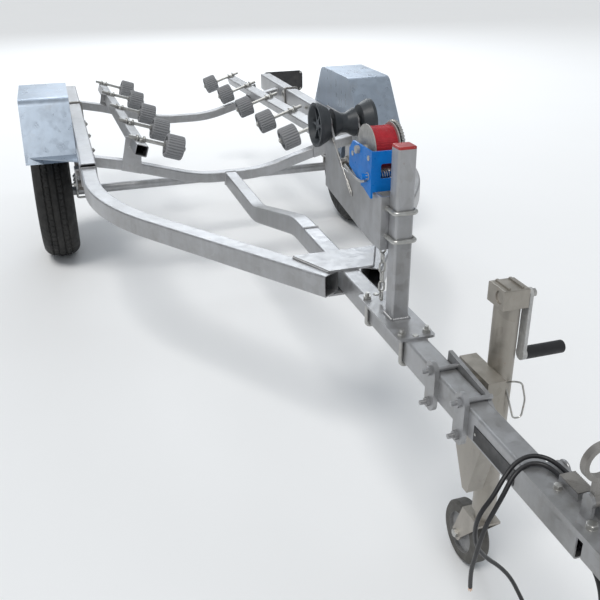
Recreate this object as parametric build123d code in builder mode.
from build123d import *
from math import atan2, cos, radians, sin, tan
import os

os.makedirs("parts", exist_ok=True)

# Roller boat trailer, galvanised steel. Millimetres, +Z up, the ground is z = 0.
# The coupling points to -Y, the rollers' end to +Y, and left (seen from behind,
# looking forward) is +X. The origin is the middle of the overall box, at ground level.
SIDES = (("left", 1), ("right", -1))

# ---- Places along the trailer ------------------------------------------------
# Each is given from its neighbour, so the chain runs from the axle to the coupling.
BOW_NOSE_Y = 1950.0          # the bow rails' front ends, ahead of the axle line
POST_AHEAD = 292.0           # winch post ahead of the bow rails' front ends
JACK_AHEAD = 253.0           # jack ahead of the winch post
SOCKET_AHEAD = 678.0         # the ball's centre ahead of the jack
RAIL_REAR = 1200.0           # the side rails' rear ends, behind the axle line
LAMP_BEHIND = 175.0          # back of the lamps behind the side rails

# ---- Wheels and axle ---------------------------------------------------------
TYRE_D = 600.0
TYRE_W = 168.0
TYRE_CROWN_R = 30.0
TYRE_WALL = 12.0
TYRE_BULGE = 0.1             # the side arc swells this far past its middle point
TYRE_SHOULDER_W = 18.0
BEAD_CLEARANCE = 1.0         # between the tyre's bead and the rim
TRACK_HALF = 760.0           # wheel centre from the middle
RIM_D = 336.0
RIM_W = 124.0
RIM_WALL = 4.0
RIM_LIP = 8.0
RIM_WELL_DEPTH = 26.0
RIM_WELL_HALF = 24.0
RIM_BEAD = 16.0
RIM_DISC_T = 5.0
RIM_DISH_R = 92.0
RIM_OFFSET = 30.0            # mounting face outboard of the wheel's centre
RIM_VENTS = 8
VENT_D = 34.0
VENT_PCD = 224.0
HUB_R = 36.0
HUB_LENGTH = 96.0
HUB_FLANGE_R = 72.0
HUB_FLANGE_T = 10.0
HUB_CAP_R = 27.0
HUB_CAP_LENGTH = 34.0
HUB_CAP_GAP = 1.0            # between the cap and the rim's middle hole
STUB_R = 14.0
STUB_NOSE = 14.0             # beyond the hub's mounting face
STUB_END_GAP = 2.0
RUN_CLEARANCE = 0.05         # radial, wherever one piece turns on another
AXLE_D = 42.0
AXLE_SHOULDER = 3.0          # the axle tube stops this far short of the hub
AXLE_Z = TYRE_D / 2

# ---- Main tubes --------------------------------------------------------------
TUBE_TOP = 586.0
TUBE_W = 50.0
TUBE_H = 62.0
TUBE_WALL = 3.0
TUBE_CORNER = 6.0
DRAWBAR_SETBACK = 202.0      # the drawbar's open front end behind the ball's centre
SPINE_JOINT = 350.0          # joint of drawbar and spine behind the bow rails' front ends
SPINE_TOP = 450.0            # top of the low, rear stretch of the spine
SPINE_FALL_START = 116.0     # where the spine starts to fall, behind its joint
SPINE_FALL_LENGTH = 536.0
SPINE_BEND_R = 400.0

RAIL_WALL = 4.0
BOW_W = 58.0
RAIL_W = BOW_W + 2 * RAIL_WALL
RAIL_H = 95.0
RAIL_TOP = 590.0
RAIL_X = 608.0
RAIL_FRONT = 630.0           # ahead of the axle line
RAIL_CORNER = 9.0
BOW_INSERT = 180.0           # how far a bow rail slides into its side rail
BOW_CORNER_Y = 1090.0
BOW_NOSE_X = 57.0
BOW_BEND_R = 1000.0
BOW_DROP = 12.0              # a bow rail falls this much from the nose to its side rail

NOSE_PLATE_T = 6.0
NOSE_PLATE_SETBACK = 5.0     # behind the bow rails' front ends
NOSE_PLATE_L = 133.0
NOSE_PLATE_REAR_HALF = 122.0
NOSE_PLATE_FRONT_HALF = 62.0

# ---- Cross members -----------------------------------------------------------
CROSS_DEPTH = 50.0
CROSS_H = 42.0
CROSS_FRONT_Y = -425.0
CROSS_REAR_Y = 825.0
CROSS_MID_TOP = 449.0
CROSS_KNEE_TOP = 540.0
CROSS_END_TOP = 566.0
CROSS_FLAT_HALF = 140.0
CROSS_KNEE_X = 450.0
CROSS_BEND_R = 600.0

# ---- Roller beams, tilted to the hull ----------------------------------------
BEAM_W = 50.0
BEAM_H = 46.0
BEAM_TILT = 18.5
BEAM_FRONT = (393.0, -620.0, 620.0)     # middle of the front end: x, y from the axle, z
BEAM_REAR = (412.0, 1330.0, 543.0)
ROLLER_STATIONS = (92.0, 504.0, 958.0, 1453.0, 1930.0)   # along the beam from its front
ROLLER_D = 100.0
ROLLER_L = 75.0
ROLLER_REACH = 141.0         # beam middle to roller middle, along the spindle
ROLLER_RECESS_R = 36.0
ROLLER_RECESS = 9.0
ROLLER_HUB_R = 19.0
SPINDLE_R = 8.0
SPINDLE_STUB = 24.0          # beyond the beam's outer side
SPINDLE_END = 11.0           # beyond the roller's inner end
NUT_R = 13.0
NUT_T = 7.0
NUT_GAP = 1.0
ROLLER_EDGE_R = 7.0
BRACKET_T = 6.0
BRACKET_GAP = 0.3
BRACKET_LIP = 24.0
BRACKET_LIP_TOP = 16.0       # above the beam's middle, along its tilt
BRACKET_FOOT_IN = 388.0
BRACKET_FOOT_OUT = 470.0

# ---- Springs -----------------------------------------------------------------
SPRING_X = 630.0
SPRING_W = 45.0
LEAF_T = 7.0
LEAF_HALF_LENGTHS = (330.0, 235.0, 140.0)
SPRING_RISE = 85.0
SPRING_EYE_R = 15.0
SPRING_PIN_R = 7.0
HANGER_T = 5.0
HANGER_L = 60.0
HANGER_DROP = 16.0           # hanger sides reach this far below the eye
EYE_SIDE_GAP = 2.0
EYE_RUN_GAP = 0.3
SEAT_T = 6.0
CLAMP_PLATE_W = 70.0
CLAMP_PLATE_L = 84.0
CLAMP_PLATE_T = 8.0

# ---- Mudguards: side view as (y from the axle, z) ----------------------------
GUARD_SIDE = ((-386.0, 540.0), (-209.0, 775.0), (190.0, 778.0), (322.0, 540.0))
GUARD_SEAM = 0.5             # weld gap between a mudguard and its rail
GUARD_OUTER_X = 850.0
GUARD_T = 3.0
GUARD_LIP = 28.0
GUARD_BEND_R = 62.0
GUSSET_T = 5.0
GUSSET_Z = 566.0
GUSSET_TIP_X = 832.0
GUSSET_FRONT_Y = -487.0

# ---- Lamps -------------------------------------------------------------------
LAMP_PLATE_W = 270.0
LAMP_PLATE_H = 131.0
LAMP_PLATE_T = 3.0
LAMP_PLATE_X = 765.0
LAMP_PLATE_Z = 508.0
LAMP_CORNER = 26.0
LAMP_W = 214.0
LAMP_H = 92.0
LAMP_T = 24.0
LAMP_ARM_H = 40.0
LAMP_ARM_T = 6.0
LAMP_ARM_Z = 528.0
LAMP_ARM_LAP = 150.0         # length of the arm that lies on the rail

# ---- Tie-down rings ----------------------------------------------------------
TIE_RING_Y = 676.0
TIE_RING_Z = 552.0
TIE_RING_R = 20.0
TIE_WIRE_R = 4.0

# ---- Winch post and its clamps; y from the post ------------------------------
POST_W = 42.0
POST_TOP = 988.0
POST_CAP_T = 6.0
BASE_T = 6.0
BASE_HALF_W = 45.0
BASE_FRONT_Y = -114.0
BASE_REAR_Y = 134.0
BASE_CORNER = 8.0
BASE_UBOLT_Y = (-96.0, 108.0)
UBOLT_WIRE_R = 5.0
UBOLT_BEND_R = 10.0
UBOLT_ABOVE = 16.0           # threads stand this far out
UBOLT_NUT_T = 8.0
POST_CLAMP_Z = (785.0, 850.0)

# ---- Winch bracket, bow roller and winch; y from the post --------------------
BRACKET_BACK_T = 5.0
BRACKET_LOW = 752.0
BRACKET_HIGH = 876.0
CHEEK_X = 34.0               # inner face of each cheek
CHEEK_T = 5.0
CHEEK_END_R = 20.0
CHEEK_DIP_FRONT = 202.0
CHEEK_DIP_REAR = 287.0
CHEEK_ELBOW_Y = 394.0
CHEEK_ELBOW_Z = 797.0
CHEEK_FOOT_Y = 84.0
BOW_ROLLER_Y = 377.0
BOW_ROLLER_Z = 961.0
BOW_ROLLER_L = 150.0
BOW_ROLLER_D = 110.0
BOW_WAIST_R = 25.0
BOW_HUB_R = 13.0
BOW_WALL = 6.0
BOW_RIM_W = 8.0
BOW_SPOKES = 6
CHEEK_GROOVE = 5.0           # room each side of a cheek in the roller
WINCH_SIDE_X = 44.0
WINCH_T = 5.0
WINCH_FRONT_Y = 60.0
WINCH_REAR_Y = 196.0
WINCH_LOW_FRONT = 862.0
WINCH_LOW_REAR = 904.0
WINCH_TOP = 967.0
WINCH_CHAMFER = 22.0
WINCH_WINDOW_W = 52.0
WINCH_WINDOW_H = 34.0
WINCH_BASE_L = 60.0
DRUM_Y = 137.0
DRUM_Z = 955.0
DRUM_SHAFT_R = 9.0
DRUM_STUB = 8.0
STRAP_W = 56.0
STRAP_R = 48.0
DRUM_FLANGE_R = 55.0
DRUM_FLANGE_T = 3.0
DRIVE_Y = 80.0
DRIVE_Z = 908.0
DRIVE_R = 7.0
DRIVE_STUB = 16.0

# ---- Bow chain ---------------------------------------------------------------
CHAIN_X = -8.0
CHAIN_Y = 74.0
CHAIN_PIN_Z = 764.0
CHAIN_PIN_R = 4.0
LINKS = 7
LINK_L = 30.0
LINK_W = 18.0
LINK_WIRE_R = 2.5
LINK_SLACK = 0.6

# ---- Jack; y from the jack, outlines as (y, z) -------------------------------
JACK_X = 125.0
JACK_PIVOT_Z = 545.0
MOUNT_T = 9.0
MOUNT_OUTLINE = (
    (43.0, 606.0),
    (-109.0, 594.0),
    (-145.0, 566.0),
    (-145.0, 500.0),
    (-105.0, 486.0),
    (25.0, 486.0),
    (51.0, 520.0),
)
ROD_Y = (3.0, -121.0)
ROD_R = 5.0
ROD_GAP = 1.0
ROD_OUT = 30.0
ROD_NUT_T = 8.0
BAR_W = 40.0
BAR_T = 10.0
PIVOT_R = 17.0
PIVOT_CAP_R = 24.0
PIVOT_CAP_T = 5.0
PIVOT_COLLAR_L = 12.0
PIVOT_SIDE_GAP = 0.3
JACK_BOX_X = 60.0
JACK_BOX_T = 4.0
JACK_BOX_SEAM = 2.0          # the channel's outer wall runs this deep into the tube
JACK_BOX_FRONT_Y = -65.0
JACK_BOX_REAR_Y = 57.0
JACK_BOX_TOP = 580.0
JACK_BOX_HEEL = 400.0
JACK_BOX_LOW = 275.0
JACK_BOX_OUTLINE = (
    (JACK_BOX_FRONT_Y, JACK_BOX_TOP),
    (JACK_BOX_REAR_Y, JACK_BOX_TOP),
    (JACK_BOX_REAR_Y, JACK_BOX_HEEL),
    (-4.0, JACK_BOX_LOW),
    (-24.0, JACK_BOX_LOW),
    (JACK_BOX_FRONT_Y, 425.0),
)
JACK_TUBE_R = 27.0
JACK_TUBE_LOW = 200.0
JACK_HEAD_W = 58.0
JACK_HEAD_L = 61.0
JACK_HEAD_LOW = 720.0
JACK_HEAD_TOP = 762.0
JACK_HEAD_EDGE = 3.0
JACK_RIB_W = 6.0
JACK_RIB_H = 4.0
JACK_RIB_PITCH = 30.0
JACK_RECESS_R = 14.0
JACK_RECESS = 3.0
JACK_LEG_R = 21.0
JACK_LEG_TOP = 600.0
JACK_RETRACT = 20.0
JACK_TOP_ROOM = 10.0
SPIGOT_R = 11.0
SPIGOT_HEAD_R = 14.0
SPIGOT_HEAD_T = 4.0
CROWN_TOP = 172.0
CROWN_T = 6.0
CROWN_FRONT_Y = -30.0
CROWN_REAR_Y = 43.0
FORK_T = 4.0
FORK_END_R = 18.0
JOCKEY_Y = 60.0
JOCKEY_D = 155.0
JOCKEY_W = 40.0
JOCKEY_SIDE_GAP = 5.0
JOCKEY_PIN_R = 8.0
JOCKEY_PIN_OUT = 7.0
JOCKEY_HUB_R = 18.0
JOCKEY_RIM_R = 50.0
JOCKEY_WEB = 22.0
JOCKEY_EDGE = 6.0
CRANK_Y = -13.0
CRANK_Z = 743.0
CRANK_GAP = 5.0
CRANK_T = 8.0
CRANK_W = 24.0
CRANK_REACH = 138.0
CRANK_PIN_R = 8.0
CRANK_PIN_DEPTH = 20.0
GRIP_R = 14.0
GRIP_L = 103.0
GRIP_EDGE = 4.0

# ---- Coupling; y from the ball's centre --------------------------------------
HITCH_PLATE_T = 11.0
HITCH_PLATE_HALF = 38.0
HITCH_PLATE_FRONT = 113.0
HITCH_PLATE_REAR = 343.0
HITCH_CORNER = 8.0
HITCH_BODY_HALF = 34.0
HITCH_BODY_LOW = 552.0
HITCH_BODY_REAR = 177.0
HITCH_WALL = 5.0
SOCKET_OUTER_R = 42.0
SOCKET_LOW = 544.0
SOCKET_TOP = 606.0
SOCKET_EDGE = 14.0
SOCKET_SKIRT = 18.0
BALL_R = 25.4
HITCH_BLOCK_W = 30.0
HITCH_BLOCK_L = 50.0
HITCH_BLOCK_H = 14.0
HITCH_BLOCK_Y = 268.0
LEVER_Y = 208.0
LEVER_Z = 630.0
LEVER_T = 12.0
LEVER_GAP = 0.3
LEVER_EAR_T = 6.0
LEVER_EYE_R = 12.0
LEVER_PIN_R = 5.0
LEVER_RING_Z = 700.0
LEVER_RING_OUT = 33.0
LEVER_RING_IN = 25.0
LUG_Y = 331.0
LUG_R = 13.0
LUG_WIRE_R = 3.0
LUG_SEAM = 1.0

# ---- Cables; each route as (x, y from the axle, z), from its exit to its bare end
CABLE_R = 4.0
CABLE_ROUTES = {
    "cable_front": (
        (6, -2880, 603),
        (6, -2856, 603),
        (-7, -2837, 605),
        (-30, -2831, 603),
        (-56, -2838, 592),
        (-75, -2848, 569),
        (-92, -2853, 544),
        (-103, -2850, 513),
        (-105, -2840, 468),
        (-103, -2828, 421),
        (-100, -2814, 372),
        (-89, -2802, 321),
    ),
    "cable_rear": (
        (22, -2880, 603),
        (22, -2854, 603),
        (12, -2830, 606),
        (-12, -2817, 608),
        (-40, -2818, 601),
        (-66, -2829, 585),
        (-91, -2840, 557),
        (-111, -2840, 531),
        (-112, -2830, 488),
        (-93, -2812, 426),
        (-59, -2798, 377),
        (-25, -2790, 341),
        (6, -2788, 300),
        (29, -2794, 250),
        (47, -2812, 203),
        (56, -2836, 150),
        (58, -2862, 96),
        (62, -2893, 47),
        (64, -2934, 15),
        (66, -2989, 5),
        (64, -3050, 4.5),
    ),
    "cable_left": (
        (10, -2950, 546),
        (11, -2975, 545),
        (13, -2998, 538),
        (16, -3016, 519),
        (19, -3026, 492),
        (22, -3031, 458),
        (25, -3030, 415),
        (29, -3026, 362),
        (35, -3020, 302),
        (41, -3017, 242),
        (47, -3019, 184),
        (52, -3028, 128),
        (56, -3044, 76),
        (58, -3070, 36),
        (61, -3108, 12),
        (63, -3160, 4.8),
        (60, -3220, 4.5),
    ),
    "cable_right": (
        (-10, -2950, 541),
        (-10, -2974, 540),
        (-9, -2996, 531),
        (-6, -3012, 512),
        (-3, -3021, 485),
        (0, -3025, 452),
        (3, -3024, 410),
        (8, -3020, 358),
        (13, -3013, 299),
        (18, -3008, 240),
        (23, -3009, 182),
        (28, -3016, 126),
        (31, -3030, 76),
        (33, -3055, 37),
        (34, -3092, 13),
        (31, -3142, 4.8),
        (25, -3200, 4.5),
    ),
}


def save(part, name):
    """Label a finished piece and write its STEP file."""
    part.label = name
    export_step(part, f"parts/{name}.step")


def tube_section(width, height, wall, corner):
    """Hollow rectangle with rounded corners, inside a BuildSketch block."""
    RectangleRounded(width, height, corner)
    RectangleRounded(width - 2 * wall, height - 2 * wall, corner - wall, mode=Mode.SUBTRACT)


# ---- Places worked out along the chain, from the axle line --------------------
POST_Y = -(BOW_NOSE_Y + POST_AHEAD)
JACK_Y = POST_Y - JACK_AHEAD
SOCKET_Y = JACK_Y - SOCKET_AHEAD
LAMP_REACH = RAIL_REAR + LAMP_BEHIND
AXLE_Y = (SOCKET_OUTER_R - SOCKET_Y - LAMP_REACH) / 2


def from_axle(y):
    """Y in the part's frame of a place y behind the axle line."""
    return AXLE_Y + y


def from_post(y):
    """Y in the part's frame of a place y behind the winch post."""
    return AXLE_Y + POST_Y + y


def from_jack(y):
    """Y in the part's frame of a place y behind the jack."""
    return AXLE_Y + JACK_Y + y


def from_socket(y):
    """Y in the part's frame of a place y behind the ball's centre."""
    return AXLE_Y + SOCKET_Y + y


# ---- Drawbar and spine -------------------------------------------------------
tube_mid_z = TUBE_TOP - TUBE_H / 2
spine_joint_y = from_axle(-BOW_NOSE_Y + SPINE_JOINT)
with BuildPart() as drawbar:
    with BuildSketch(Plane.XZ.offset(-spine_joint_y)):
        with Locations((0, tube_mid_z)):
            tube_section(TUBE_W, TUBE_H, TUBE_WALL, TUBE_CORNER)
    extrude(amount=spine_joint_y - from_socket(DRAWBAR_SETBACK))
save(drawbar.part, "drawbar")

spine_end_y = from_axle(CROSS_FRONT_Y - CROSS_DEPTH / 2)
with BuildPart() as spine:
    with BuildLine(Plane.YZ) as spine_path:
        FilletPolyline(
            (spine_joint_y, tube_mid_z),
            (spine_joint_y + SPINE_FALL_START, tube_mid_z),
            (spine_joint_y + SPINE_FALL_START + SPINE_FALL_LENGTH, SPINE_TOP - TUBE_H / 2),
            (spine_end_y, SPINE_TOP - TUBE_H / 2),
            radius=SPINE_BEND_R,
        )
    with BuildSketch(Plane(spine_path.line @ 0, x_dir=(1, 0, 0), z_dir=spine_path.line % 0)):
        tube_section(TUBE_W, TUBE_H, TUBE_WALL, TUBE_CORNER)
    sweep(path=spine_path.line)
save(spine.part, "spine")

# ---- Side rails and bow rails ------------------------------------------------
bow_tilt = atan2(BOW_DROP, BOW_NOSE_Y - RAIL_FRONT)
for side, sign in SIDES:
    with BuildPart() as side_rail:
        with BuildSketch(Plane.XZ.offset(-from_axle(RAIL_REAR))):
            with Locations((sign * RAIL_X, RAIL_TOP - RAIL_H / 2)):
                tube_section(RAIL_W, RAIL_H, RAIL_WALL, RAIL_CORNER)
        extrude(amount=RAIL_REAR + RAIL_FRONT)
    save(side_rail.part, f"side_rail_{side}")

    bow_plane = Plane(
        origin=(0, from_axle(-BOW_NOSE_Y), tube_mid_z),
        x_dir=(1, 0, 0),
        z_dir=(0, sin(bow_tilt), cos(bow_tilt)),
    )
    with BuildPart() as bow_rail:
        with BuildLine(bow_plane) as bow_path:
            FilletPolyline(
                (sign * BOW_NOSE_X, 0),
                (sign * RAIL_X, BOW_NOSE_Y - BOW_CORNER_Y),
                (sign * RAIL_X, BOW_NOSE_Y - RAIL_FRONT + BOW_INSERT),
                radius=BOW_BEND_R,
            )
        bow_start = bow_path.line @ 0
        bow_heading = bow_path.line % 0
        bow_across = bow_plane.z_dir.cross(bow_heading)
        with BuildSketch(Plane(bow_start, x_dir=bow_across, z_dir=bow_heading)):
            tube_section(BOW_W, TUBE_H, TUBE_WALL, TUBE_CORNER)
        sweep(path=bow_path.line)
    save(bow_rail.part, f"bow_rail_{side}")

# ---- Nose plates, over and under the bow rails' front ends -------------------
nose_plate_front = BOW_NOSE_Y - NOSE_PLATE_SETBACK
nose_plate_rear = nose_plate_front - NOSE_PLATE_L
bow_fall = (BOW_NOSE_Y - nose_plate_rear) * tan(bow_tilt)
with BuildPart() as nose_plates:
    for plate_z in (TUBE_TOP, TUBE_TOP - TUBE_H - bow_fall - NOSE_PLATE_T):
        with BuildSketch(Plane.XY.offset(plate_z)):
            with BuildLine():
                Polyline(
                    (-NOSE_PLATE_REAR_HALF, from_axle(-nose_plate_rear)),
                    (NOSE_PLATE_REAR_HALF, from_axle(-nose_plate_rear)),
                    (NOSE_PLATE_FRONT_HALF, from_axle(-nose_plate_front)),
                    (-NOSE_PLATE_FRONT_HALF, from_axle(-nose_plate_front)),
                    close=True,
                )
            make_face()
        extrude(amount=NOSE_PLATE_T)
save(nose_plates.part, "nose_plates")

# ---- Cross members, dipped in the middle to clear the keel -------------------
rail_inner_x = RAIL_X - RAIL_W / 2


def cross_top(x):
    """Height of a cross member's top at x, before its bends are rounded."""
    run = abs(x)
    if run <= CROSS_FLAT_HALF:
        return CROSS_MID_TOP
    if run <= CROSS_KNEE_X:
        share = (run - CROSS_FLAT_HALF) / (CROSS_KNEE_X - CROSS_FLAT_HALF)
        return CROSS_MID_TOP + share * (CROSS_KNEE_TOP - CROSS_MID_TOP)
    share = (run - CROSS_KNEE_X) / (rail_inner_x - CROSS_KNEE_X)
    return CROSS_KNEE_TOP + share * (CROSS_END_TOP - CROSS_KNEE_TOP)


def cross_member(centre_y):
    """A bent tube from rail to rail, cut flush with the rails' inner faces."""
    beyond = rail_inner_x + CROSS_H / 2
    stations = (-beyond, -CROSS_KNEE_X, -CROSS_FLAT_HALF, CROSS_FLAT_HALF, CROSS_KNEE_X, beyond)
    with BuildPart() as member:
        with BuildLine(Plane.XZ.offset(-from_axle(centre_y))) as path:
            FilletPolyline(
                [(x, cross_top(x) - CROSS_H / 2) for x in stations],
                radius=CROSS_BEND_R,
            )
        with BuildSketch(Plane(path.line @ 0, x_dir=(0, 1, 0), z_dir=path.line % 0)):
            tube_section(CROSS_DEPTH, CROSS_H, TUBE_WALL, TUBE_CORNER)
        sweep(path=path.line)
        with Locations((0, from_axle(centre_y), CROSS_END_TOP)):
            Box(2 * rail_inner_x, 2 * CROSS_DEPTH, 2 * RAIL_TOP, mode=Mode.INTERSECT)
    return member.part


save(cross_member(CROSS_FRONT_Y), "front_cross_member")
save(cross_member(CROSS_REAR_Y), "rear_cross_member")

# ---- Roller beams ------------------------------------------------------------
beam_length = (Vector(BEAM_REAR) - Vector(BEAM_FRONT)).length
spindle_lift = BEAM_H / 2 + SPINDLE_R
spindle_start = -(BEAM_W / 2 + SPINDLE_STUB)
spindle_stop = ROLLER_REACH + ROLLER_L / 2 + SPINDLE_END


def beam_axes(sign):
    """A beam's front end, and its directions rearwards, inwards and up from its top."""
    front = Vector(sign * BEAM_FRONT[0], from_axle(BEAM_FRONT[1]), BEAM_FRONT[2])
    rear = Vector(sign * BEAM_REAR[0], from_axle(BEAM_REAR[1]), BEAM_REAR[2])
    heading = (rear - front).normalized()
    tilt = radians(BEAM_TILT)
    inward = Vector(-sign * cos(tilt), 0, -sin(tilt))
    inward = (inward - heading * inward.dot(heading)).normalized()
    return front, heading, inward, heading.cross(inward) * sign


def spindle_plane(sign, station):
    """Plane across a spindle: z along it towards the hull's middle."""
    front, heading, inward, up = beam_axes(sign)
    middle = front + heading * station + up * spindle_lift
    return Plane(middle, x_dir=up, z_dir=inward)


def hull_roller(sign, station):
    """A roller with a recessed hub at both ends, bored to turn on its spindle."""
    ends = ROLLER_L / 2
    with BuildPart() as roller:
        with BuildSketch(spindle_plane(sign, station).offset(ROLLER_REACH - ends)):
            Circle(ROLLER_D / 2)
        extrude(amount=ROLLER_L)
        fillet(roller.edges().filter_by(GeomType.CIRCLE), ROLLER_EDGE_R)
        for face_at in (ROLLER_REACH - ends, ROLLER_REACH + ends - ROLLER_RECESS):
            with BuildSketch(spindle_plane(sign, station).offset(face_at)):
                Circle(ROLLER_RECESS_R)
                Circle(ROLLER_HUB_R, mode=Mode.SUBTRACT)
            extrude(amount=ROLLER_RECESS, mode=Mode.SUBTRACT)
        with BuildSketch(spindle_plane(sign, station).offset(ROLLER_REACH - ends)):
            Circle(SPINDLE_R + RUN_CLEARANCE)
        extrude(amount=ROLLER_L, mode=Mode.SUBTRACT)
    return roller.part


for side, sign in SIDES:
    beam_front, beam_heading, beam_inward, beam_up = beam_axes(sign)
    with BuildPart() as beam:
        with BuildSketch(Plane(beam_front, x_dir=beam_inward, z_dir=beam_heading)):
            tube_section(BEAM_W, BEAM_H, TUBE_WALL, TUBE_CORNER)
        extrude(amount=beam_length)
    save(beam.part, f"roller_beam_{side}")

    for number, station in enumerate(ROLLER_STATIONS, start=1):
        save(hull_roller(sign, station), f"hull_roller_{side}_{number}")

collar_at = ROLLER_REACH - ROLLER_L / 2 - NUT_T - NUT_GAP
nut_at = ROLLER_REACH + ROLLER_L / 2 + NUT_GAP
with BuildPart() as spindles:
    for side, sign in SIDES:
        for station in ROLLER_STATIONS:
            with BuildSketch(spindle_plane(sign, station).offset(spindle_start)):
                Circle(SPINDLE_R)
            extrude(amount=spindle_stop - spindle_start)
            for place in (collar_at, nut_at):
                with BuildSketch(spindle_plane(sign, station).offset(place)):
                    RegularPolygon(NUT_R, 6)
                extrude(amount=NUT_T)
save(spindles.part, "roller_spindles")

# ---- Brackets that carry the beams on the cross members ----------------------


def beam_section_point(sign, y, inward, up):
    """(x, z) of a point of the beam's section where the beam passes y."""
    share = (y - BEAM_FRONT[1]) / (BEAM_REAR[1] - BEAM_FRONT[1])
    middle_x = BEAM_FRONT[0] + share * (BEAM_REAR[0] - BEAM_FRONT[0])
    middle_z = BEAM_FRONT[2] + share * (BEAM_REAR[2] - BEAM_FRONT[2])
    tilt = radians(BEAM_TILT)
    x = middle_x - inward * cos(tilt) - up * sin(tilt)
    z = middle_z - inward * sin(tilt) + up * cos(tilt)
    return (sign * x, z)


beam_underside = -(BEAM_H / 2 + BRACKET_GAP)
beam_outside = -(BEAM_W / 2 + BRACKET_GAP)
with BuildPart() as beam_brackets:
    for near_face, thickness in (
        (CROSS_FRONT_Y - CROSS_DEPTH / 2, BRACKET_T),
        (CROSS_REAR_Y + CROSS_DEPTH / 2, -BRACKET_T),
    ):
        for side, sign in SIDES:
            with BuildSketch(Plane.XZ.offset(-from_axle(near_face))):
                with BuildLine():
                    Polyline(
                        beam_section_point(sign, near_face, BEAM_W / 2, beam_underside),
                        beam_section_point(sign, near_face, beam_outside, beam_underside),
                        beam_section_point(sign, near_face, beam_outside, BRACKET_LIP_TOP),
                        beam_section_point(
                            sign, near_face, beam_outside - BRACKET_LIP, BRACKET_LIP_TOP
                        ),
                        (sign * BRACKET_FOOT_OUT, cross_top(BRACKET_FOOT_OUT) - CROSS_H),
                        (sign * BRACKET_FOOT_IN, cross_top(BRACKET_FOOT_IN) - CROSS_H),
                        close=True,
                    )
                make_face()
            extrude(amount=thickness)
save(beam_brackets.part, "beam_brackets")

# ---- Axle, hubs, rims and tyres ----------------------------------------------
hub_face_x = TRACK_HALF + RIM_OFFSET
hub_inner_x = hub_face_x - HUB_LENGTH
with BuildPart() as axle:
    with BuildSketch(Plane.YZ.offset(-(hub_inner_x - AXLE_SHOULDER))):
        with Locations((from_axle(0), AXLE_Z)):
            Circle(AXLE_D / 2)
    extrude(amount=2 * (hub_inner_x - AXLE_SHOULDER))
    with BuildSketch(Plane.YZ.offset(-(hub_face_x + STUB_NOSE))):
        with Locations((from_axle(0), AXLE_Z)):
            Circle(STUB_R)
    extrude(amount=2 * (hub_face_x + STUB_NOSE))
save(axle.part, "axle")

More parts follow.
